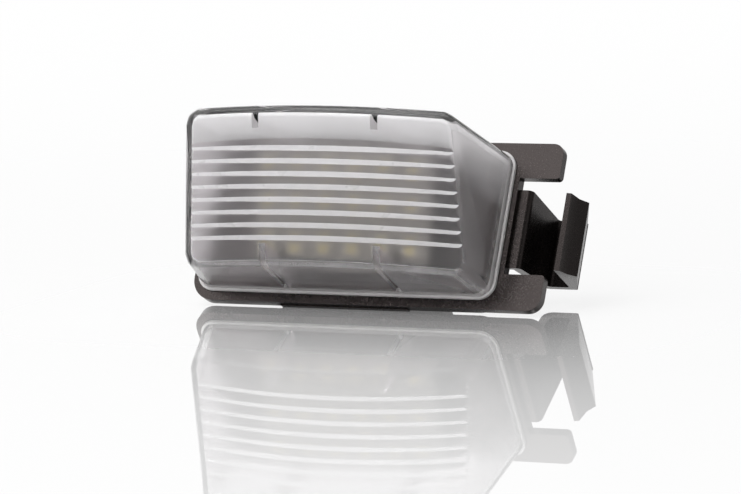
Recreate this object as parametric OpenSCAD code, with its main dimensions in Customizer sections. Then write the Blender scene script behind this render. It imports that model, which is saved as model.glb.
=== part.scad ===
// Number plate lamp with eighteen surface-mount LEDs, leaning back on a table as it comes to rest.
// X runs along the lamp, the lens faces -Y and +Z is up. The origin is the middle of the flange's
// rear face, which bears on the panel. Every piece is drawn square to the flange and then leaned back.

/* [Lens] */
// Width of the lens over its foot lip
lens_w = 70; // [64:0.5:84]
// Height of the lens over its foot lip
lens_h = 33; // [32.5:0.5:40.5]
// Depth of the lens at its lower edge
lens_low = 12.3; // [10.5:0.1:16]
// Depth of the lens at its upper edge
lens_high = 25.9; // [21:0.1:32]
// How far the face stands proud at mid-length
lens_bulge = 3.2; // [1:0.1:4]
// Wall of the lens
lens_wall = 1.8; // [1:0.1:2]
// Rounding of the edges round the face
lens_round = 2.4; // [2.2:0.1:3.5]
// Rounding of the face's four corners, beyond that of its edges
face_corner = 1.2; // [0.4:0.1:3]
// Corner radius of the foot
lens_corner = 3.8; // [2.5:0.1:6]
// Draft of the end walls in degrees
end_draft = 7; // [1:0.5:8]
// Draft of the lower wall in degrees
low_draft = 5; // [2:0.5:8]
// Width of the lip round the foot
lip_w = 0.5; // [0.3:0.1:1]
// Height of the lip round the foot
lip_h = 0.7; // [0.4:0.1:1.2]

/* [Prisms] */
// Number of prism ribs across the inside of the face
prism_count = 8; // [3:1:9]
// Distance from one prism rib to the next
prism_pitch = 2.7; // [2:0.05:3]
// Depth of a prism rib
prism_depth = 0.8; // [0.3:0.1:1.1]
// Share of the pitch below a rib's crest
prism_crest = 0.4; // [0.2:0.05:0.8]
// Distance from the lower edge of the face to the first rib
prism_start = 3.7; // [1:0.1:4]
// Distance between the two guide ribs on the upper wall
guide_gap = 27.5; // [16:0.5:40]
// Distance between the two guide ribs on the lower wall
low_guide_gap = 26.5; // [16:0.5:40]
// Thickness of a guide rib
guide_t = 1.6; // [1:0.1:2.4]
// Height of a guide rib
guide_h = 2.8; // [1.5:0.1:3.1]

/* [Housing] */
// Border of the flange beyond the lens, sideways
border_x = 1.2; // [1:0.1:5]
// Border of the flange beyond the lens, up and down
border_z = 2; // [1.5:0.1:4]
// Thickness of the flange
flange_t = 2.5; // [2.2:0.1:4]
// Corner radius of the flange
flange_corner = 5; // [3:0.1:8]
// Depth of the groove that takes the foot of the lens
groove_d = 1.6; // [1.2:0.1:1.6]
// Width of the collar behind the flange
collar_w = 40; // [39:0.5:50]
// Height of the collar behind the flange
collar_h = 28.5; // [27:0.5:32]
// Depth of the collar behind the flange
collar_d = 8.6; // [7.6:0.1:12]
// Walls of the collar and of the board seat
wall = 1.8; // [1.4:0.1:2.2]
// Corner radius of the collar
collar_corner = 2.5; // [2.2:0.1:4]
// Length of the land under the flange
land_w = 30; // [10:1:50]
// Height of the land under the flange
land_h = 0.3; // [0.2:0.05:1]
// Reach of the gussets beside the collar
gusset = 5; // [2:0.5:8]
// Thickness of a gusset
gusset_t = 1.5; // [1:0.1:2]

/* [Tabs] */
// Reach of the upper tab beyond the flange
upper_tab = 9; // [5:0.1:10]
// Height of the upper tab
upper_tab_h = 7.8; // [5:0.1:8.5]
// Reach of the lower tab beyond the flange
lower_tab = 9.3; // [5:0.1:10]
// Height of the lower tab
lower_tab_h = 7.9; // [5:0.1:8.8]
// Thickness of the tabs
tab_t = 2.1; // [1.5:0.1:2.2]

/* [Spring latch] */
// Height of the latch at its front
latch_h = 17.5; // [12:0.1:18]
// How much lower the latch is at its rear
latch_taper = 3; // [0:0.1:4]
// How much lower the latch's front lies than its rear
latch_drop = 0.2; // [0:0.1:0.6]
// How far the latch reaches behind the front of the flange
latch_depth = 19; // [14:0.1:24]
// Gap between the edge of the flange and the spring leg
leg_gap = 0.9; // [0.3:0.1:1.5]
// How far the root of the leg is set back from the front of the flange
root_back = 1.2; // [0.5:0.1:1.4]
// How far the front of the lug is set back from the front of the flange
lug_back = 2.1; // [0.5:0.1:3]
// Thickness of the spring leg
spring_t = 2; // [1.2:0.1:2.4]
// Gap between leg and lug at the rear
throat_rear = 4.9; // [3:0.1:6]
// Gap between leg and lug at the front
throat_front = 7.3; // [6:0.1:10]
// Thickness of the lug at its rear
lug_rear = 1.2; // [1:0.1:3]
// Width of the lug's finger grip
grip_t = 1.1; // [0.8:0.1:2]
// How far the lug's shoulder stands out beside the grip
shoulder = 2.2; // [1:0.1:3]
// How far the shoulder lies behind the grip
shoulder_back = 3.1; // [2:0.1:5]

/* [Tongue] */
// Height of the tongue at the far end from the latch
tongue_h = 16; // [8:0.5:24]
// Thickness of the tongue
tongue_t = 1.8; // [1.2:0.1:2.4]
// Distance from the end of the flange to the tongue's web
tongue_reach = 5; // [4:0.1:6]
// Distance from the end of the flange to the tongue's tip
tongue_tip = 0.8; // [0.4:0.1:2]
// Thickness of the panel that the tongue grips
panel_t = 2.4; // [1.5:0.1:3]

/* [LED board] */
// Width of the board
board_w = 40; // [39:0.5:44]
// Height of the board
board_h = 21.5; // [20.5:0.5:22]
// Thickness of the board
board_t = 1.6; // [1:0.1:2]
// Tilt of the board against the flange in degrees
board_tilt = 18; // [10:0.5:22]
// Distance from the flange to the middle of the board's face
board_lift = 6.5; // [6:0.1:8]
// Distance between LEDs along a row
led_pitch_x = 6.7; // [6.4:0.1:7]
// Distance between the rows of LEDs
led_pitch_z = 7.5; // [6.6:0.1:8]
// Width of an LED
led_w = 3.5; // [3:0.1:3.5]
// Height of an LED
led_h = 2.8; // [2.4:0.1:2.8]
// Thickness of an LED
led_t = 1.9; // [0.8:0.1:2]
// Diameter of an LED's phosphor well
led_well = 2.4; // [1.8:0.1:2.4]

/* [Connector] */
// Width of the socket
socket_w = 17; // [15:0.5:22]
// Height of the socket
socket_h = 11; // [9:0.5:13]
// Depth of the socket behind the collar
socket_d = 11.5; // [8:0.5:16]
// Wall of the socket
socket_wall = 1.6; // [1.2:0.1:2]
// Distance between the two blades
blade_gap = 6; // [5:0.1:6]
// Width of a blade
blade_w = 2.8; // [2:0.1:3]
// Thickness of a blade
blade_t = 0.8; // [0.6:0.1:1]
// How far the blades stop short of the socket's mouth
blade_short = 5; // [3:0.1:6]

/* [Hidden] */
$fn = 48;

// Clearances: lens foot in its groove, metal in a moulded slot, holes round pins and stakes
foot_gap = 0.1;
slot_gap = 0.03;
hole_gap = 0.1;
// Small overlap that makes a cut run clear of a face
eps = 0.5;

// Flange, and the lean that puts the land and the collar's lower edge on one plane
flange_w = lens_w + 2 * border_x;
flange_h = lens_h + 2 * border_z;
lean = atan((flange_h / 2 + land_h - collar_h / 2) / collar_d);

// Lens: body inside the lip, depth of its foot in the groove, and the rounded edge of the face
body_w = lens_w - 2 * lip_w;
body_h = lens_h - 2 * lip_w;
body_corner = lens_corner - lip_w;
bead_t = 0.4;
foot_d = groove_d - bead_t;
edge_steps = 6;
low_y = lens_low - lens_round;
high_y = lens_high - lens_round;
low_z = -body_h / 2 + low_y * tan(low_draft) + lens_round;
high_z = body_h / 2 - lens_round;
low_x = body_w / 2 - low_y * tan(end_draft) - lens_round;
high_x = body_w / 2 - high_y * tan(end_draft) - lens_round;
bulge_r = (pow(low_x, 2) + pow(lens_bulge, 2)) / (2 * lens_bulge);
function bulge_at(x) = sqrt(pow(bulge_r, 2) - pow(x, 2)) - bulge_r + lens_bulge;

// Prisms: slope of the face, and points on its inner skin a length s above the lower edge
face_tilt = atan((high_y - low_y) / (high_z - low_z));
inner_round = lens_round - lens_wall;
function skin(s, inward) = [
    low_y + lens_bulge + s * sin(face_tilt) + (inner_round - inward) * cos(face_tilt),
    low_z + s * cos(face_tilt) - (inner_round - inward) * sin(face_tilt)
];
prism_root = 0.4;

// Board seat: outline of the wedge that carries the board
seat_rim = 0.3;
seat_h = board_h * cos(board_tilt) + 2 * seat_rim;
seat_z = board_t * sin(board_tilt);
seat_well_w = board_w - 2 * wall;
seat_well_h = seat_h - 2 * wall;

// Heat stakes stand near the board's edges between two columns of LEDs, on bosses beside the well
stake_d = 1.6;
stake_head_d = 2.6;
stake_head_t = 0.8;
boss_d = 4;
boss_l = 6;
stake_x = 2 * led_pitch_x;
stake_z = board_h / 2 - 1.7;

// Socket lies level with the gap between the middle and the upper row of LEDs
socket_z = led_pitch_z / 2 * cos(board_tilt) + board_t / 2 * sin(board_tilt);
socket_corner = 2;
key_w = 3;
key_t = 0.8;
tail_w = 0.9;
tail_proud = 0.7;
tail_end = flange_t + board_lift + led_pitch_z / 2 * sin(board_tilt) + tail_proud;

// Parts on the board's back
chip_l = 3.2;
chip_w = 1.6;
chip_t = 0.6;
chip_gap = 4.4;
chip_z = -5;
diode_l = 4.3;
diode_w = 2.6;
diode_t = 2.1;
diode_x = 9.5;
diode_z = 4.6;

// Points along an arc of radius r about c from angle a to angle b
function arc(c, r, a, b, n = 6) = [
    for (i = [0:n]) c + r * [cos(a + (b - a) * i / n), sin(a + (b - a) * i / n)]
];

// Leans a piece back on its land and collar
module leaned() {
    rotate([-lean, 0, 0])
        children();
}

// Rounded rectangle about the origin
module rounded(w, h, r) {
    square([w - 2 * r, h], center = true);
    square([w, h - 2 * r], center = true);
    for (x = [-1, 1], z = [-1, 1])
        translate([x * (w / 2 - r), z * (h / 2 - r)])
            circle(r);
}

// Rounded plate standing in the XZ plane, from y = back to y = front
module plate(w, h, r, back, front) {
    translate([0, back, 0])
        rotate([90, 0, 0])
            linear_extrude(back - front)
                rounded(w, h, r);
}

// Places its children on the tilted board, face to the front and origin in the middle of the face
module on_board() {
    translate([0, -flange_t - board_lift, 0])
        rotate([board_tilt, 0, 0])
            children();
}

// Row of spheres along one edge of the face, turned in at both ends towards the face's middle
module face_edge(reach, z, turn, r) {
    flat = [for (i = [-edge_steps:edge_steps]) [i / edge_steps * (reach - face_corner), 0]];
    ends = [
        for (side = [-1, 1], a = [45, 90])
            [side * (reach - face_corner + face_corner * sin(a)), face_corner * (1 - cos(a))]
    ];
    for (p = concat(flat, ends)) {
        level = z + turn * p[1];
        depth = low_y + (level - low_z) * tan(face_tilt);
        translate([p[0], -flange_t - depth - bulge_at(p[0]), level])
            sphere(r, $fn = 24);
    }
}

// Lens body from foot to face, drawn in by a skin's thickness
module lens_body(inset, foot) {
    hull() {
        plate(
            body_w - 2 * inset, body_h - 2 * inset, max(body_corner - inset, 0.6),
            foot, -flange_t - lip_h
        );
        face_edge(low_x, low_z, 1, lens_round - inset);
        face_edge(high_x, high_z, -1, lens_round - inset);
    }
}

// Sawtooth prisms that follow the bulge of the face
module prisms() {
    steps = [0:prism_count - 1];
    teeth = [
        for (i = steps, k = [0, 1])
            skin(prism_start + (i + k * prism_crest) * prism_pitch, k * prism_depth)
    ];
    top = prism_start + prism_count * prism_pitch;
    outline = concat(
        [skin(prism_start, -prism_root)], teeth, [skin(top, 0), skin(top, -prism_root)]
    );
    sweep = asin(body_w / 2 / bulge_r);
    translate([0, bulge_r - flange_t, 0])
        rotate([0, 0, -90 - sweep])
            rotate_extrude(angle = 2 * sweep, $fn = 360)
                polygon([for (p = outline) [bulge_r + p[0], p[1]]]);
}

// Two guide ribs on the upper wall and two on the lower wall, from foot to face
module guides() {
    reach = lens_high + lens_bulge;
    for (side = [-1, 1]) {
        translate([side * guide_gap / 2 - guide_t / 2, -flange_t - reach, body_h / 2 - lens_wall - guide_h])
            cube([guide_t, reach - lip_h, guide_h + lens_wall]);
        translate([side * low_guide_gap / 2 - guide_t / 2, -flange_t, -body_h / 2])
            rotate([-low_draft, 0, 0])
                translate([0, -reach, 0])
                    cube([guide_t, reach - lip_h, guide_h + lens_wall]);
    }
}

module lens() {
    leaned()
        color([0.86, 0.86, 0.88, 0.6]) {
            difference() {
                lens_body(0, foot_d - flange_t);
                lens_body(lens_wall, foot_d - flange_t + eps);
            }
            difference() {
                plate(lens_w, lens_h, lens_corner, -flange_t, -flange_t - lip_h);
                plate(
                    body_w - lens_wall, body_h - lens_wall, body_corner,
                    -flange_t + eps, -flange_t - lip_h - eps
                );
            }
            intersection() {
                union() {
                    prisms();
                    guides();
                }
                lens_body(lens_wall / 2, -flange_t);
            }
        }
}

// Ring that follows the foot of the lens, wider than its wall by a gap on each side
module foot_ring(gap, back, front) {
    difference() {
        plate(body_w + 2 * gap, body_h + 2 * gap, body_corner + gap, back, front);
        plate(
            body_w - 2 * lens_wall - 2 * gap, body_h - 2 * lens_wall - 2 * gap,
            max(body_corner - lens_wall - gap, 0.6), back + eps, front - eps
        );
    }
}

module lens_seal() {
    leaned()
        color("dimgray")
            foot_ring(0, groove_d - flange_t, foot_d - flange_t);
}

// One tab that runs out of the flange's side, with its own outer corner radii
module tab(reach, h, low, high) {
    outline = concat(
        [[-flange_corner, 0]],
        arc([reach - low, low], low, -90, 0),
        arc([reach - high, h - high], high, 0, 90),
        [[-flange_corner, h]]
    );
    translate([0, tab_t - flange_t, 0])
        rotate([90, 0, 0])
            linear_extrude(tab_t)
                polygon(outline);
}

module tabs() {
    translate([flange_w / 2, 0, flange_h / 2 - upper_tab_h])
        tab(upper_tab, upper_tab_h, 0.8, 2.4);
    translate([flange_w / 2, 0, -flange_h / 2])
        tab(lower_tab, lower_tab_h, 3, 0.8);
}

// Plan of the spring latch: leg on a set-back root, rear web and outward-leaning lug with its shoulder
module latch_plan() {
    nose = 1.2;
    heel = 2;
    inner = 0.9;
    crown = 0.2;
    step = 0.7;
    ramp = 1.8;
    rear = latch_depth - flange_t;
    leg_x = leg_gap + spring_t;
    lug_x = leg_x + throat_rear;
    tip_x = leg_x + throat_front;
    root = root_back - flange_t;
    front = lug_back - flange_t;
    outline = concat(
        [[-eps, 0], [-eps, root]],
        arc([leg_x - nose, nose + root], nose, -90, 0),
        arc([leg_x + inner, rear - spring_t - inner], inner, 180, 90),
        arc([lug_x - inner, rear - spring_t - inner], inner, 90, 12),
        [
            [tip_x, front],
            [tip_x + grip_t, front + crown],
            [tip_x + grip_t + step, front + shoulder_back],
            [tip_x + grip_t + shoulder, front + shoulder_back + ramp]
        ],
        arc([lug_x + lug_rear - step, rear - step], step, -20, 90),
        arc([leg_gap + heel, rear - heel], heel, 90, 180),
        [[leg_gap, 0]]
    );
    polygon(outline);
}

// Spring latch, tapering towards its rear
module latch() {
    rear = latch_depth - flange_t;
    half = latch_h / 2;
    cut = half - latch_taper / 2;
    low = -half - latch_drop;
    high = half - latch_drop;
    span = leg_gap + spring_t + throat_front + grip_t + shoulder + 2 * eps;
    translate([flange_w / 2, 0, 0])
        intersection() {
            translate([0, 0, low])
                linear_extrude(latch_h + 2 * latch_drop)
                    latch_plan();
            translate([-eps, 0, 0])
                rotate([90, 0, 90])
                    linear_extrude(span)
                        polygon([[-flange_t, low], [rear, -cut], [rear, cut], [-flange_t, high]]);
        }
}

// L-shaped tongue that goes behind the panel's edge first
module tongue() {
    rear = panel_t + tongue_t;
    lead = 0.6;
    outline = concat(
        [[tongue_reach, -eps], [tongue_reach + tongue_t, -eps]],
        arc([tongue_reach, panel_t], tongue_t, 0, 90),
        [
            [tongue_tip + 2 * lead, rear],
            [tongue_tip, panel_t + 2 * lead],
            [tongue_tip, panel_t + lead],
            [tongue_tip + lead, panel_t],
            [tongue_reach, panel_t]
        ]
    );
    translate([-flange_w / 2, 0, -tongue_h / 2])
        linear_extrude(tongue_h)
            polygon(outline);
}

// Triangular gussets between the collar and the flange
module gussets() {
    for (side = [0, 1], z = [-collar_h / 4, collar_h / 4])
        mirror([side, 0, 0])
            translate([collar_w / 2 - eps, 0, z - gusset_t / 2])
                linear_extrude(gusset_t)
                    polygon([[0, -eps], [gusset + eps, -eps], [gusset + eps, 0], [eps, gusset], [0, gusset]]);
}

// Block in the outline of the board seat
module seat_block() {
    translate([0, 0, seat_z])
        plate(board_w, seat_h, collar_corner, 0, -flange_t - board_lift - board_h);
}

// Wedge that lifts the board, cut off along the board's back
module board_seat() {
    difference() {
        seat_block();
        on_board()
            translate([-board_w, board_t - 2 * board_h, -2 * board_h])
                cube([2 * board_w, 2 * board_h, 4 * board_h]);
    }
}

// Places its children at each heat stake, running back from the board's face
module at_stakes() {
    on_board()
        for (x = [-stake_x, stake_x], z = [-stake_z, stake_z])
            translate([x, 0, z])
                rotate([-90, 0, 0])
                    children();
}

// Bosses, posts and formed heads that hold the board down
module stakes() {
    intersection() {
        seat_block();
        at_stakes()
            translate([0, 0, board_t])
                cylinder(h = boss_l, d = boss_d);
    }
    at_stakes() {
        translate([0, 0, -stake_head_t / 2])
            cylinder(h = board_t + stake_head_t / 2 + eps, d = stake_d);
        translate([0, 0, -stake_head_t])
            cylinder(h = stake_head_t, d1 = stake_head_d * 0.6, d2 = stake_head_d);
    }
}

// Shroud of the connector with a key rib on top
module socket() {
    translate([0, 0, socket_z]) {
        plate(socket_w, socket_h, socket_corner, collar_d + socket_d, collar_d - eps);
        translate([-key_w / 2, collar_d - eps, socket_h / 2 - eps])
            cube([key_w, socket_d * 0.6, key_t + eps]);
    }
}

module socket_bore() {
    translate([0, 0, socket_z])
        plate(
            socket_w - 2 * socket_wall, socket_h - 2 * socket_wall, socket_corner / 2,
            collar_d + socket_d + eps, collar_d
        );
}

// Blade of a terminal and its narrow tail through the board, grown by a gap
module terminal_bar(side, gap) {
    blade_front = collar_d - wall - 2;
    blade_back = collar_d + socket_d - blade_short;
    translate([side * blade_gap / 2, 0, socket_z]) {
        translate([-blade_w / 2 - gap, blade_front, -blade_t / 2 - gap])
            cube([blade_w + 2 * gap, blade_back - blade_front, blade_t + 2 * gap]);
        translate([-tail_w / 2 - gap, -tail_end, -blade_t / 2 - gap])
            cube([tail_w + 2 * gap, tail_end + blade_front + eps, blade_t + 2 * gap]);
    }
}

module terminal(side) {
    leaned()
        color("goldenrod")
            terminal_bar(side, 0);
}

module housing() {
    leaned()
        color([0.17, 0.15, 0.145]) {
            difference() {
                union() {
                    plate(flange_w, flange_h, flange_corner, 0, -flange_t);
                    tabs();
                    latch();
                    tongue();
                    gussets();
                    plate(collar_w, collar_h, collar_corner, collar_d, -eps);
                    board_seat();
                    socket();
                    translate([-land_w / 2, -flange_t / 2, -flange_h / 2 - land_h])
                        cube([land_w, flange_t / 2, land_h + eps]);
                }
                foot_ring(foot_gap, groove_d - flange_t, -flange_t - eps);
                plate(
                    collar_w - 2 * wall, collar_h - 2 * wall, collar_corner - wall / 2,
                    collar_d - wall, 0
                );
                translate([0, 0, seat_z])
                    plate(
                        seat_well_w, seat_well_h, collar_corner - wall / 2,
                        eps, -flange_t - board_lift - board_h
                    );
                socket_bore();
                for (side = [-1, 1])
                    terminal_bar(side, slot_gap);
            }
            stakes();
        }
}

module led_board() {
    leaned()
        color("whitesmoke")
            difference() {
                on_board()
                    plate(board_w, board_h, 1, board_t, 0);
                at_stakes()
                    translate([0, 0, -eps])
                        cylinder(h = board_t + 2 * eps, d = stake_d + 2 * hole_gap);
                for (side = [-1, 1])
                    terminal_bar(side, hole_gap);
            }
}

// Surface-mount LED with its round phosphor well
module led(i) {
    column = i % 6 - 2.5;
    row = floor(i / 6) - 1;
    leaned()
        on_board()
            translate([column * led_pitch_x, 0, row * led_pitch_z])
                color("ivory")
                    difference() {
                        translate([-led_w / 2, -led_t, -led_h / 2])
                            cube([led_w, led_t, led_h]);
                        translate([0, -led_t - eps, 0])
                            rotate([-90, 0, 0])
                                cylinder(h = eps + 0.3, d = led_well);
                    }
}

// Chip resistor on the board's back
module resistor(i) {
    leaned()
        on_board()
            translate([(i - 2.5) * chip_gap - chip_w / 2, board_t, chip_z - chip_l / 2])
                color("black")
                    cube([chip_w, chip_t, chip_l]);
}

// Diode that guards against a reversed supply, with its two folded leads
module polarity_diode() {
    lead = 0.9;
    leaned()
        on_board()
            translate([diode_x, board_t, diode_z])
                color("darkslategray") {
                    translate([-diode_l / 2, 0.1, -diode_w / 2])
                        cube([diode_l, diode_t, diode_w]);
                    translate([-diode_l / 2 - 0.4, 0, -lead / 2 - 0.3])
                        cube([diode_l + 0.8, diode_t / 2, lead + 0.6]);
                }
}

housing();
lens();
lens_seal();
led_board();
polarity_diode();
for (i = [0:5])
    resistor(i);
terminal(-1);  // terminal_left
terminal(1);  // terminal_right
for (i = [0:17])
    led(i);
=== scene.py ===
import math

import bmesh
import bpy
from mathutils import Matrix, Vector
from mathutils.bvhtree import BVHTree


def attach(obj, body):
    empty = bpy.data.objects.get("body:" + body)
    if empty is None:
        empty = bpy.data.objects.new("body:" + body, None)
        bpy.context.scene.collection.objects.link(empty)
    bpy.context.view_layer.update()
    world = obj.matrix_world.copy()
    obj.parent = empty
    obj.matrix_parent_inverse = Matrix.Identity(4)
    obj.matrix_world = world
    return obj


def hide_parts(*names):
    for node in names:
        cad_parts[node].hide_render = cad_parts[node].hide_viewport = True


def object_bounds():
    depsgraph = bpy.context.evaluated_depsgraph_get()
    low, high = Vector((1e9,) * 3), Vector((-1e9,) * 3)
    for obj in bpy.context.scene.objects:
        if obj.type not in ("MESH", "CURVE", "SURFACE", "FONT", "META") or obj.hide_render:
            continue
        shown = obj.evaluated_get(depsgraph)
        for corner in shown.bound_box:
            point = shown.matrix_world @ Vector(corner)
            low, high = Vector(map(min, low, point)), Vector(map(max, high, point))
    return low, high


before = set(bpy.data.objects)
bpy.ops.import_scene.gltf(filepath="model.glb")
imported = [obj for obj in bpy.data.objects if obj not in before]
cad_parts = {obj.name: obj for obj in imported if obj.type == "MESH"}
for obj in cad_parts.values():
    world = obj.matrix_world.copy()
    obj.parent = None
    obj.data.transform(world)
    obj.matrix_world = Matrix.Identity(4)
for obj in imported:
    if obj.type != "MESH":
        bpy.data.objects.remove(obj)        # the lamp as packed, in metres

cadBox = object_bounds()
print("frame loaded:", len(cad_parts), "nodes")

millimetre = 0.001

# Where the parts lie: the lamp is drawn square to its flange, then leans back onto its land and collar
lampLayout = {
    "flangeHeight": 37.0,
    "landHeight": 0.3,
    "collarHeight": 28.5,
    "collarDepth": 8.6,
    "flangeThickness": 2.5,
    "boardLift": 6.5,
    "boardTilt": 18.0,
    "ledPitchAcross": 6.7,
    "ledPitchUp": 7.5,
}
noiseSpan = (0.3, 0.7)    # nearly all of a noise lies between these
cloudSpan = (0.35, 0.7)    # and the larger patches of a second colour between these
# In each finish, bump is a strength and a height in metres


def leanAngle(layout):
    drop = layout["flangeHeight"] / 2 + layout["landHeight"] - layout["collarHeight"] / 2
    return math.atan(drop / layout["collarDepth"])


lean = leanAngle(lampLayout)
boardTilt = math.radians(lampLayout["boardTilt"])
boardFront = -(lampLayout["flangeThickness"] + lampLayout["boardLift"]) * millimetre


# Shader maths: a wire wraps one socket, and paint adds nodes to one material
class Wire:
    def __init__(self, paint, socket):
        self.paint = paint
        self.socket = socket

    def __add__(self, other):
        return self.paint.maths("ADD", self, other)

    def __radd__(self, other):
        return self.paint.maths("ADD", other, self)

    def __sub__(self, other):
        return self.paint.maths("SUBTRACT", self, other)

    def __rsub__(self, other):
        return self.paint.maths("SUBTRACT", other, self)

    def __mul__(self, other):
        return self.paint.maths("MULTIPLY", self, other)

    def __rmul__(self, other):
        return self.paint.maths("MULTIPLY", other, self)

    def __truediv__(self, other):
        return self.paint.maths("DIVIDE", self, other)

    def __lt__(self, other):
        return self.paint.maths("LESS_THAN", self, other)

    def __gt__(self, other):
        return self.paint.maths("GREATER_THAN", self, other)

    def __abs__(self):
        return self.paint.maths("ABSOLUTE", self, 0.0)


class Paint:
    def __init__(self, name, tree=None):
        if tree is None:
            self.material = bpy.data.materials.new(name)
            self.material.use_nodes = True
            tree = self.material.node_tree
        self.tree = tree
        self.tree.nodes.clear()

    def node(self, kind, settings=None, sockets=None, output=0):
        made = self.tree.nodes.new("ShaderNode" + kind)
        for name, value in (settings or {}).items():
            setattr(made, name, value)
        for name, value in (sockets or {}).items():
            if isinstance(value, Wire):
                self.tree.links.new(value.socket, made.inputs[name])
            else:
                made.inputs[name].default_value = value
        return Wire(self, made.outputs[output])

    def maths(self, operation, first, second):
        return self.node("Math", {"operation": operation}, {0: first, 1: second})

    def blend(self, amount, low, high):
        return self.node("Mix", {"data_type": "RGBA"}, {0: amount, 6: low, 7: high}, output=2)

    def place(self, turnX=0.0, shift=(0, 0, 0)):
        where = self.node("TexCoord", output=3)
        return self.node("Mapping", {}, {"Vector": where, "Rotation": (turnX, 0, 0), "Location": shift})

    def axes(self, where):
        split = self.node("SeparateXYZ", {}, {0: where})
        outputs = split.socket.node.outputs
        return [Wire(self, outputs[k]) for k in range(3)]

    def noise(self, where, scale, detail=2.0):
        return self.node("TexNoise", {}, {"Vector": where, "Scale": scale, "Detail": detail})

    def between(self, value, low, high, start=0.0, end=1.0):
        return self.node("MapRange", {"clamp": True}, {0: value, 1: low, 2: high, 3: start, 4: end})

    def vary(self, noise, low, high):
        return self.between(noise, *noiseSpan, low, high)

    def bump(self, height, strength, distance):
        return self.node("Bump", {}, {"Height": height, "Strength": strength, "Distance": distance})

    def rays(self):
        # whether a ray comes from the camera, is a reflection, or has passed through glass
        kinds = self.node("LightPath").socket.node.outputs
        return [Wire(self, kinds[name]) for name in ("Is Camera Ray", "Is Glossy Ray", "Is Transmission Ray")]

    def finish(self, shader, kind="OutputMaterial"):
        end = self.tree.nodes.new("ShaderNode" + kind)
        self.tree.links.new(shader.socket, end.inputs["Surface"])
        return getattr(self, "material", None)


# Black satin moulding with a fine spark-eroded grain
housingFinish = {
    "colour": (0.0060, 0.0052, 0.0048, 1),
    "worn": (0.0105, 0.0085, 0.0078, 1),
    "roughness": 0.27,
    "uneven": (-0.05, 0.07),
    "shine": 0.5,
    # a pinkish tint painted into the reflections, standing for the colour of the lamps
    "paintedLampTint": (1.0, 0.86, 0.84, 1),
    "grain": 2600,
    "cloud": 90,
    "grainShare": 0.6,
    "bump": (0.35, 0.00004),
}


def makeHousingPaint(finish):
    paint = Paint("housingPlastic")
    where = paint.place(lean)
    cloud = paint.noise(where, finish["cloud"], 4)
    share = finish["grainShare"]
    grain = paint.noise(where, finish["grain"], 3)
    tone = paint.between(cloud, *cloudSpan)
    uneven = paint.vary(grain * share + cloud * (1 - share), *finish["uneven"])
    surface = paint.node("BsdfPrincipled", {}, {
        "Base Color": paint.blend(tone, finish["colour"], finish["worn"]),
        "Roughness": uneven + finish["roughness"],
        "Specular IOR Level": finish["shine"],
        "Specular Tint": finish["paintedLampTint"],
        "Normal": paint.bump(grain, *finish["bump"]),
    })
    return paint.finish(surface)


# Clear moulding: polished outside; inside, each part has its own frost, and on the brow, steps, roof and
# walls the haze and scatter are raised where light falls from above, which is painted light
lensFinish = {
    "index": 1.49,
    "cloud": 160,
    "frostStrength": 0.25,
    "hazeRoughness": 0.45,
    "hazeUneven": 0.3,
    "insideDepth": 0.9,    # inner faces lie deeper than this below the outline, millimetres
    "faceOutward": -0.6,    # where the outline looks farther forwards than this, it is the face
    "roofOutward": 0.6,    # the roof lies below an outline that looks upwards
    "roofInward": -0.8,    # and looks down itself
    "stepAngles": (-25, 10),    # faces turned this far up from straight back are rib steps, degrees
    "browAngle": 40,
    # the brow's haze above this height is painted brightness for the light from above
    "browHeight": 9.6,    # the face is flat and hazier above this, millimetres
    "lipHeight": 0.8,    # millimetres above the flange
}
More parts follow.
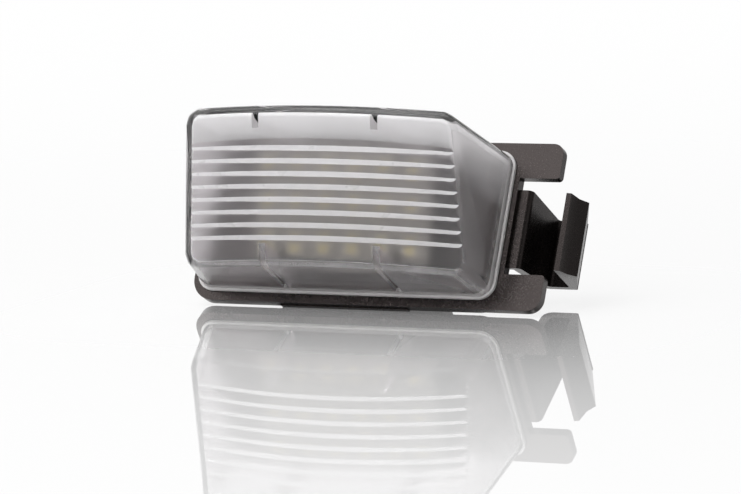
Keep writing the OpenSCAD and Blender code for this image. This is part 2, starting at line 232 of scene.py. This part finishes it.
# Scatter is light let through from behind, haze is light thrown back: its two amounts lie at the two heights
# listed after them, in millimetres above the lamp's middle. Haze that grows towards the top is painted light,
# making the lens brighter where light falls from above.
lensParts = {
    "Outside": {
        "tint": (0.99, 0.985, 0.99, 1), "roughness": 0.03, "spread": 0.015, "grain": 500, "depth": 0.00001,
    },
    "Face": {
        "tint": (0.985, 0.94, 0.965, 1), "roughness": 0.38, "spread": 0.03, "grain": 1700, "depth": 0.00002,
        "scatterAndPaintedLight": 0.03, "scatterTint": (0.97, 0.90, 0.93, 1),
        "hazeAndPaintedLight": (0.02, 0.22), "paintedLightRise": (-10, 14), "hazeTint": (0.95, 0.90, 0.93, 1),
    },
    # painted light: the brow's haze is high and rises towards the top, standing for light falling from above
    "Brow": {
        "tint": (0.99, 0.98, 0.99, 1), "roughness": 0.30, "spread": 0.01, "grain": 1700, "depth": 0.000004,
        "scatterAndPaintedLight": 0.14, "scatterTint": (0.99, 0.97, 0.98, 1),
        "hazeAndPaintedLight": (0.50, 0.82), "paintedLightRise": (9, 14), "hazeTint": (0.99, 0.98, 0.99, 1),
    },
    # painted light: the steps' near-white haze stands for the white bands that light from above makes through
    # the rib steps
    "Steps": {
        "tint": (0.99, 0.99, 0.99, 1), "roughness": 0.30, "spread": 0.04, "grain": 1700, "depth": 0.00002,
        "scatterAndPaintedLight": 0.20, "scatterTint": (0.99, 0.98, 0.99, 1),
        "hazeAndPaintedLight": (0.84, 0.92), "paintedLightRise": (-12, 12), "hazeTint": (0.99, 0.98, 0.99, 1),
    },
    # painted light: the roof is the wall material with stronger scatter and haze, a lit copy for the light
    # falling on it from above
    "Roof": {
        "tint": (0.99, 0.98, 0.99, 1), "roughness": 0.16, "spread": 0.01, "grain": 1200, "depth": 0.000004,
        "scatterAndPaintedLight": 0.40, "scatterTint": (0.98, 0.96, 0.97, 1),
        "hazeAndPaintedLight": (0.30, 0.30), "paintedLightRise": (0, 1), "hazeTint": (0.97, 0.96, 0.97, 1),
    },
    # painted light: the walls' haze rises from nearly none to nearly white towards the top, for light from
    # above
    "Walls": {
        "tint": (0.98, 0.93, 0.955, 1), "roughness": 0.34, "spread": 0.03, "grain": 1200, "depth": 0.00001,
        "scatterAndPaintedLight": 0.08, "scatterTint": (0.97, 0.90, 0.93, 1),
        "hazeAndPaintedLight": (0.02, 0.85), "paintedLightRise": (3, 14), "hazeTint": (0.97, 0.95, 0.96, 1),
    },
    "Lip": {
        "tint": (0.98, 0.98, 0.98, 1), "roughness": 0.20, "spread": 0.05, "grain": 900, "depth": 0.00001,
        "scatterAndPaintedLight": 0.20, "scatterTint": (0.97, 0.96, 0.97, 1),
        "hazeAndPaintedLight": (0.75, 0.75), "paintedLightRise": (0, 1), "hazeTint": (0.97, 0.955, 0.95, 1),
    },
}


def makeLensPaint(part, finish):
    paint = Paint("lens" + part)
    where = paint.place(lean)
    frost = paint.noise(where, finish["grain"], 2)
    cloud = paint.noise(where, lensFinish["cloud"], 3)
    normal = paint.bump(frost, lensFinish["frostStrength"], finish["depth"])
    uneven = paint.vary(cloud, -finish["spread"], finish["spread"])
    shader = paint.node("BsdfPrincipled", {}, {
        "Base Color": finish["tint"],
        "Roughness": uneven + finish["roughness"],
        "IOR": lensFinish["index"],
        "Transmission Weight": 1.0,
        "Normal": normal,
    })
    if "scatterAndPaintedLight" in finish:
        through = paint.node("BsdfTranslucent", {}, {"Color": finish["scatterTint"], "Normal": normal})
        shader = paint.node("MixShader", {}, {0: uneven + finish["scatterAndPaintedLight"], 1: shader, 2: through})
        back = paint.node("BsdfPrincipled", {}, {
            "Base Color": finish["hazeTint"],
            "Roughness": lensFinish["hazeRoughness"],
            "IOR": lensFinish["index"],
            "Normal": normal,
        })
        low, high = finish["hazeAndPaintedLight"]
        foot, top = [height * millimetre for height in finish["paintedLightRise"]]
        # painted light: the haze ramps up with height so the upper lens is brighter, as if lit from above
        paintedTopLight = paint.between(paint.axes(where)[2], foot, top, low, high)
        amount = uneven * lensFinish["hazeUneven"] + paintedTopLight
        shader = paint.node("MixShader", {}, {0: amount, 1: shader, 2: back})
    return paint.finish(shader)


# Solder mask, white on the real board but painted mid grey here as the shade inside the lamp, with copper
# lands round the packages and two supply tracks
boardFinish = {
    # painted shade: mid grey where the real mask is white
    "shadedMask": (0.33, 0.32, 0.29, 1),
    "track": (0.29, 0.28, 0.25, 1),
    "tin": (0.50, 0.50, 0.48, 1),
    "landWidth": 4.2,    # millimetres, as are the next three
    "landHeight": 1.6,
    "trackAt": 3.0,
    "trackWidth": 0.7,
    "roughness": (0.28, 0.42),
    "shine": 0.9,
    "grain": 900,
    "bump": (0.4, 0.00004),
    "trackRise": 0.5,    # shares of a land's height
    "grainRise": 0.1,
}


def boardAxes(paint):
    shift = Matrix.Rotation(-boardTilt, 3, "X") @ Vector((0, boardFront, 0))
    return paint.axes(paint.place(lean - boardTilt, -shift))


def nearest(paint, value, pitch, offset):
    # distance to the nearest of the evenly spaced places that start at offset
    steps = paint.node("Math", {"operation": "ROUND"}, {0: (value - offset) / pitch})
    return abs(value - offset - steps * pitch)


def fromLed(paint, across, up):
    # distances from the middle of the nearest LED, along its row and across it
    pitchAcross = lampLayout["ledPitchAcross"] * millimetre
    pitchUp = lampLayout["ledPitchUp"] * millimetre
    return nearest(paint, across, pitchAcross, pitchAcross / 2), nearest(paint, up, pitchUp, 0.0)


def makeBoardPaint(finish):
    paint = Paint("boardLaminate")
    across, through, up = boardAxes(paint)
    column, row = fromLed(paint, across, up)
    landWidth, landHeight = [finish[name] * millimetre for name in ("landWidth", "landHeight")]
    land = (column < landWidth / 2) * (row < landHeight / 2)
    track = abs(row - finish["trackAt"] * millimetre) < finish["trackWidth"] * millimetre / 2
    grain = paint.noise(paint.place(lean), finish["grain"], 2)
    body = paint.blend(track, finish["shadedMask"], finish["track"])
    height = track * finish["trackRise"] + land + grain * finish["grainRise"]
    surface = paint.node("BsdfPrincipled", {}, {
        "Base Color": paint.blend(land, body, finish["tin"]),
        "Metallic": land * finish["shine"],
        "Roughness": paint.vary(grain, *finish["roughness"]),
        "Normal": paint.bump(height, *finish["bump"]),
    })
    return paint.finish(surface)


# White package with a yellow phosphor well
ledFinish = {
    "package": (0.56, 0.55, 0.50, 1),
    "phosphor": (0.72, 0.62, 0.26, 1),
    "wellRadius": 1.224,    # millimetres, a little past the well's edge
    "wellFrom": -1.7,    # the well's depths from the board's front, millimetres
    "wellTo": -1.2,
    "roughness": 0.4,
    "wellRoughness": 0.22,
    "grain": 2400,
    "bump": (0.2, 0.00003),
}


def makeLedPaint(finish):
    paint = Paint("ledPackage")
    across, through, up = boardAxes(paint)
    column, row = fromLed(paint, across, up)
    reach = paint.maths("SQRT", column * column + row * row, 0.0)
    deep = (through > finish["wellFrom"] * millimetre) * (through < finish["wellTo"] * millimetre)
    well = (reach < finish["wellRadius"] * millimetre) * deep
    grain = paint.noise(paint.place(lean), finish["grain"], 2)
    surface = paint.node("BsdfPrincipled", {}, {
        "Base Color": paint.blend(well, finish["package"], finish["phosphor"]),
        "Roughness": paint.between(well, 0, 1, finish["roughness"], finish["wellRoughness"]),
        "Normal": paint.bump(grain, *finish["bump"]),
    })
    return paint.finish(surface)


# Dark moulded chips, tinned where they are soldered
chipFinish = {
    "body": (0.022, 0.022, 0.024, 1),
    "tin": (0.66, 0.66, 0.64, 1),
    "endFrom": 0.00115,    # metres from its centre, which is this far up the board
    "centre": -0.005,
    "roughness": (0.3, 0.42),
    "grain": 1800,
    "bump": (0.3, 0.00002),
}


def makeChipPaint(finish):
    paint = Paint("resistorChip")
    across, through, up = boardAxes(paint)
    end = abs(up - finish["centre"]) > finish["endFrom"]
    grain = paint.noise(paint.place(lean), finish["grain"], 2)
    surface = paint.node("BsdfPrincipled", {}, {
        "Base Color": paint.blend(end, finish["body"], finish["tin"]),
        "Metallic": end,
        "Roughness": paint.vary(grain, *finish["roughness"]),
        "Normal": paint.bump(grain, *finish["bump"]),
    })
    return paint.finish(surface)


diodeFinish = {
    "body": (0.020, 0.021, 0.022, 1),
    "tin": (0.64, 0.64, 0.62, 1),
    "centre": 0.0095,
    "leadFrom": 0.00216,
    "bandAt": -0.0012,
    "bandWidth": 0.0003,
    "band": (0.55, 0.55, 0.53, 1),
    "roughness": (0.34, 0.5),
    "grain": 1600,
    "bump": (0.3, 0.00002),
}


def makeDiodePaint(finish):
    paint = Paint("diodeBody")
    across, through, up = boardAxes(paint)
    along = across - finish["centre"]
    lead = abs(along) > finish["leadFrom"]
    band = abs(along - finish["bandAt"]) < finish["bandWidth"]
    grain = paint.noise(paint.place(lean), finish["grain"], 2)
    body = paint.blend(band, finish["body"], finish["band"])
    surface = paint.node("BsdfPrincipled", {}, {
        "Base Color": paint.blend(lead, body, finish["tin"]),
        "Metallic": lead,
        "Roughness": paint.vary(grain, *finish["roughness"]),
        "Normal": paint.bump(grain, *finish["bump"]),
    })
    return paint.finish(surface)


brassFinish = {
    "colour": (0.80, 0.62, 0.33, 1),
    "dull": (0.66, 0.49, 0.25, 1),
    "roughness": (0.20, 0.36),
    "drawn": 0.06,    # scale of the noise along the blade
    "streak": 3200,
    "cloud": 300,
    "bump": (0.25, 0.00002),
}


def makeBrassPaint(finish):
    paint = Paint("terminalBrass")
    where = paint.place(lean)
    drawn = paint.node("Mapping", {}, {"Vector": where, "Scale": (1, finish["drawn"], 1)})
    streak = paint.noise(drawn, finish["streak"], 3)
    cloud = paint.noise(where, finish["cloud"], 3)
    surface = paint.node("BsdfPrincipled", {}, {
        "Base Color": paint.blend(paint.between(cloud, *cloudSpan), finish["colour"], finish["dull"]),
        "Metallic": 1.0,
        "Roughness": paint.vary(streak, *finish["roughness"]),
        "Normal": paint.bump(streak, *finish["bump"]),
    })
    return paint.finish(surface)


sealFinish = {
    "colour": (0.045, 0.044, 0.046, 1),
    "roughness": (0.5, 0.7),
    "grain": 700,
    "bump": (0.5, 0.00006),
}


def makeSealPaint(finish):
    paint = Paint("sealBead")
    grain = paint.noise(paint.place(lean), finish["grain"], 3)
    surface = paint.node("BsdfPrincipled", {}, {
        "Base Color": finish["colour"],
        "Roughness": paint.vary(grain, *finish["roughness"]),
        "Normal": paint.bump(grain, *finish["bump"]),
    })
    return paint.finish(surface)


def setPaint(piece, material):
    piece.data.materials.clear()
    piece.data.materials.append(material)


# A merged copy of a node with softened edges, which stands for that node
edgeRounding = {
    "housing": {"width": 0.28, "segments": 3, "angle": 32},
    "lens": {"width": 0.10, "segments": 2, "angle": 32},
    "mergeWithin": 0.002,    # millimetres
    "flatWithin": 0.6,    # degrees, as are the angles
}


def softenedCopy(node, pieceName, material):
    rounding = edgeRounding[node]
    mergeWithin = edgeRounding["mergeWithin"] * millimetre
    flatWithin = math.radians(edgeRounding["flatWithin"])
    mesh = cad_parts[node].data.copy()
    bm = bmesh.new()
    bm.from_mesh(mesh)
    bmesh.ops.remove_doubles(bm, verts=bm.verts, dist=mergeWithin)
    bmesh.ops.dissolve_limit(bm, angle_limit=flatWithin, verts=bm.verts, edges=bm.edges)
    bm.to_mesh(mesh)
    bm.free()
    mesh.name = pieceName
    piece = bpy.data.objects.new(pieceName, mesh)
    bpy.context.scene.collection.objects.link(piece)
    mesh.shade_smooth()
    mesh.set_sharp_from_angle(angle=math.radians(rounding["angle"]))
    bevel = piece.modifiers.new("softEdges", "BEVEL")
    bevel.width = rounding["width"] * millimetre
    bevel.segments = rounding["segments"]
    bevel.limit_method = "ANGLE"
    bevel.angle_limit = math.radians(rounding["angle"])
    bevel.use_clamp_overlap = True
    setPaint(piece, material)
    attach(piece, "root")
    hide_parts(node)
    print(pieceName, "made:", len(mesh.polygons), "faces")
    return piece


housingPaint = makeHousingPaint(housingFinish)
lensPaints = [makeLensPaint(part, finish) for part, finish in lensParts.items()]
boardPaint = makeBoardPaint(boardFinish)
ledPaint = makeLedPaint(ledFinish)
chipPaint = makeChipPaint(chipFinish)
diodePaint = makeDiodePaint(diodeFinish)
brassPaint = makeBrassPaint(brassFinish)
sealPaint = makeSealPaint(sealFinish)
print("finishes made")

softenedCopy("housing", "housingShell", housingPaint)
lensShell = softenedCopy("lens", "lensShell", lensPaints[0])


def assignLensParts(piece, paints, finish):
    # each face takes the finish of the part of the lens that it belongs to
    mesh = piece.data
    for paint in paints[1:]:
        mesh.materials.append(paint)
    bm = bmesh.new()
    bm.from_mesh(mesh)
    outline = bmesh.new()
    for v in bm.verts:
        outline.verts.new(v.co)
    bmesh.ops.convex_hull(outline, input=outline.verts)
    tree = BVHTree.FromBMesh(outline)
    toLamp = Matrix.Rotation(lean, 3, "X")
    lipFront = -(lampLayout["flangeThickness"] + finish["lipHeight"]) * millimetre
    lowest, highest = finish["stepAngles"]
    names = list(lensParts)
    counts = dict.fromkeys(names, 0)
    for face in bm.faces:
        centre = face.calc_center_median()
        depth = min(tree.find_nearest(v.co)[3] for v in face.verts)
        place, outward, normal = [toLamp @ v for v in (centre, tree.find_nearest(centre)[1], face.normal)]
        turned = math.degrees(math.atan2(normal.z, normal.y))
        if depth < finish["insideDepth"] * millimetre:
            part = "Lip" if place.y > lipFront else "Outside"
        elif outward.y > finish["faceOutward"]:
            isRoof = outward.z > finish["roofOutward"] and normal.z < finish["roofInward"]
            part = "Roof" if isRoof else "Walls"
        elif lowest < turned < highest:
            part = "Steps"
        elif place.z > finish["browHeight"] * millimetre and turned < finish["browAngle"]:
            part = "Brow"
        else:
            part = "Face"
        face.material_index = names.index(part)
        counts[part] += 1
    bm.to_mesh(mesh)
    bm.free()
    outline.free()
    print("lens faces:", counts)


assignLensParts(lensShell, lensPaints, lensFinish)
setPaint(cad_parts["lens_seal"], sealPaint)
setPaint(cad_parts["led_board"], boardPaint)
setPaint(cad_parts["polarity_diode"], diodePaint)
for side in ("left", "right"):
    setPaint(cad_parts["terminal_" + side], brassPaint)
for number in range(1, 7):
    setPaint(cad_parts["resistor_" + str(number)], chipPaint)
for number in range(1, 19):
    setPaint(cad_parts["led_" + str(number)], ledPaint)
print("finishes laid on")

# Glossy white table; it mirrors most beside the lamp, and is plain white farther out
tableTop = {
    "size": 9.0,
    "colour": (0.50, 0.50, 0.50, 1),
    "lift": 0.46,    # glow where the table is seen, which makes it white and its shadows paler
    "glossFar": 0.20,
    "glossNear": 0.72,
    "glossFade": 0.09,    # metres from the lamp's box, as are the next two
    "whiteFade": 0.16,
    "mirroredFade": 0.08,
}


def makeTablePaint(finish):
    paint = Paint("tableGloss")
    low, high = cadBox
    across, along, up = paint.axes(paint.place())
    aside = paint.maths("MAXIMUM", abs(across - (low.x + high.x) / 2) - (high.x - low.x) / 2, 0.0)
    ahead = paint.maths("MAXIMUM", abs(along) - high.y, 0.0)
    away = paint.maths("SQRT", aside * aside + ahead * ahead, 0.0)

    def fall(reach):
        return paint.maths("POWER", math.e, away * (-1 / reach))

    seen, glossy, through = paint.rays()
    direct = paint.maths("MAXIMUM", seen, through)
    shown = paint.maths("MAXIMUM", direct, glossy * fall(finish["mirroredFade"]))
    base = paint.node("BsdfDiffuse", {}, {"Color": finish["colour"]})
    glow = paint.node("Emission", {}, {"Color": (1, 1, 1, 1), "Strength": finish["lift"]})
    lifted = paint.node("AddShader", {}, {0: base, 1: glow})
    lit = paint.node("MixShader", {}, {0: shown, 1: base, 2: lifted})
    white = paint.node("Emission", {}, {"Color": (1, 1, 1, 1), "Strength": 1.0})
    plain = paint.node("MixShader", {}, {0: direct * (1 - fall(finish["whiteFade"])), 1: lit, 2: white})
    gloss = fall(finish["glossFade"]) * (finish["glossNear"] - finish["glossFar"]) + finish["glossFar"]
    mirror = paint.node("BsdfGlossy", {}, {"Color": (1, 1, 1, 1), "Roughness": 0.0})
    return paint.finish(paint.node("MixShader", {}, {0: gloss, 1: plain, 2: mirror}))


def makeTable(finish):
    bm = bmesh.new()
    bmesh.ops.create_grid(bm, x_segments=1, y_segments=1, size=finish["size"] / 2)
    bmesh.ops.translate(bm, verts=bm.verts, vec=(0, 0, cadBox[0].z))
    mesh = bpy.data.meshes.new("tableTop")
    bm.to_mesh(mesh)
    bm.free()
    table = bpy.data.objects.new("tableTop", mesh)
    bpy.context.scene.collection.objects.link(table)
    setPaint(table, makeTablePaint(finish))


makeTable(tableTop)

# White studio, dimmer on the latch's side; plain white where it is seen, also through the lens
studio = {
    "level": 0.66,
    "mirrored": 1.0,
    "dimSide": 0.30,
    "dimFrom": -0.15,
    "dimTo": 0.45,
    "dimFront": 0.35,    # in reflections only
    "frontFrom": -0.35,
    "frontTo": 0.15,
}


def makeStudio(values):
    world = bpy.data.worlds.new("studio")
    bpy.context.scene.world = world
    world.use_nodes = True
    paint = Paint("studio", world.node_tree)
    seen, glossy, through = paint.rays()
    singular = Wire(paint, seen.socket.node.outputs["Is Singular Ray"])
    seen = paint.maths("MAXIMUM", seen, singular * glossy)    # what the table mirrors counts as seen
    across, along, up = paint.axes(paint.node("TexCoord"))
    side = paint.between(across, values["dimFrom"], values["dimTo"], 1.0, values["dimSide"])
    direct = paint.maths("MAXIMUM", seen, through)
    front = paint.between(along, values["frontFrom"], values["frontTo"], values["dimFront"], 1.0)
    lighting = side * (glossy * (front * values["mirrored"] - values["level"]) + values["level"])
    strength = direct + (1 - direct) * lighting
    sky = paint.node("Background", {}, {"Color": (1, 1, 1, 1), "Strength": strength})
    paint.finish(sky, "OutputWorld")


makeStudio(studio)

# Soft boxes: one in front to the left, one above, and a weak one from the latch side
softBoxes = {
    "front": {"place": (-0.28, -0.42, 0.70), "size": 0.7, "power": 3.6},
    "overhead": {"place": (-0.10, 0.15, 0.85), "size": 0.7, "power": 1.4},
    "side": {"place": (0.75, -0.25, 0.35), "size": 0.5, "power": 0.2},
}


def makeSoftBox(name, values):
    lamp = bpy.data.lights.new(name, "AREA")
    lamp.shape = "SQUARE"
    lamp.size = values["size"]
    lamp.energy = values["power"]
    holder = bpy.data.objects.new(name, lamp)
    bpy.context.scene.collection.objects.link(holder)
    holder.location = values["place"]
    holder.rotation_mode = "QUATERNION"
    holder.rotation_quaternion = (-Vector(values["place"])).to_track_quat("-Z", "Y")


for boxName, boxValues in softBoxes.items():
    makeSoftBox(boxName, boxValues)
print("table, studio and soft boxes made")

# The camera stands low in front, towards the latch end
cameraPose = {
    "place": (388.673, -786.803, 120.357),    # millimetres
    "azimuth": 26.167,
    "elevation": 8.104,
    "roll": -2.273,
    "focal": 201.903,
    "sensor": 36.0,
    "clip": (0.01, 50),    # metres
}


def makeCamera(pose):
    azimuth = math.radians(pose["azimuth"])
    elevation = math.radians(pose["elevation"])
    ahead = Vector((
        -math.sin(azimuth) * math.cos(elevation),
        math.cos(azimuth) * math.cos(elevation),
        -math.sin(elevation),
    ))
    camera = bpy.data.cameras.new("view")
    camera.sensor_width = pose["sensor"]
    camera.lens = pose["focal"]
    camera.clip_start, camera.clip_end = pose["clip"]
    holder = bpy.data.objects.new("view", camera)
    bpy.context.scene.collection.objects.link(holder)
    turn = ahead.to_track_quat("-Z", "Y").to_matrix() @ Matrix.Rotation(math.radians(pose["roll"]), 3, "Z")
    holder.matrix_world = Matrix.Translation(Vector(pose["place"]) * millimetre) @ turn.to_4x4()
    bpy.context.scene.camera = holder


makeCamera(cameraPose)
bpy.context.scene.view_settings.view_transform = "Standard"
print("camera placed")
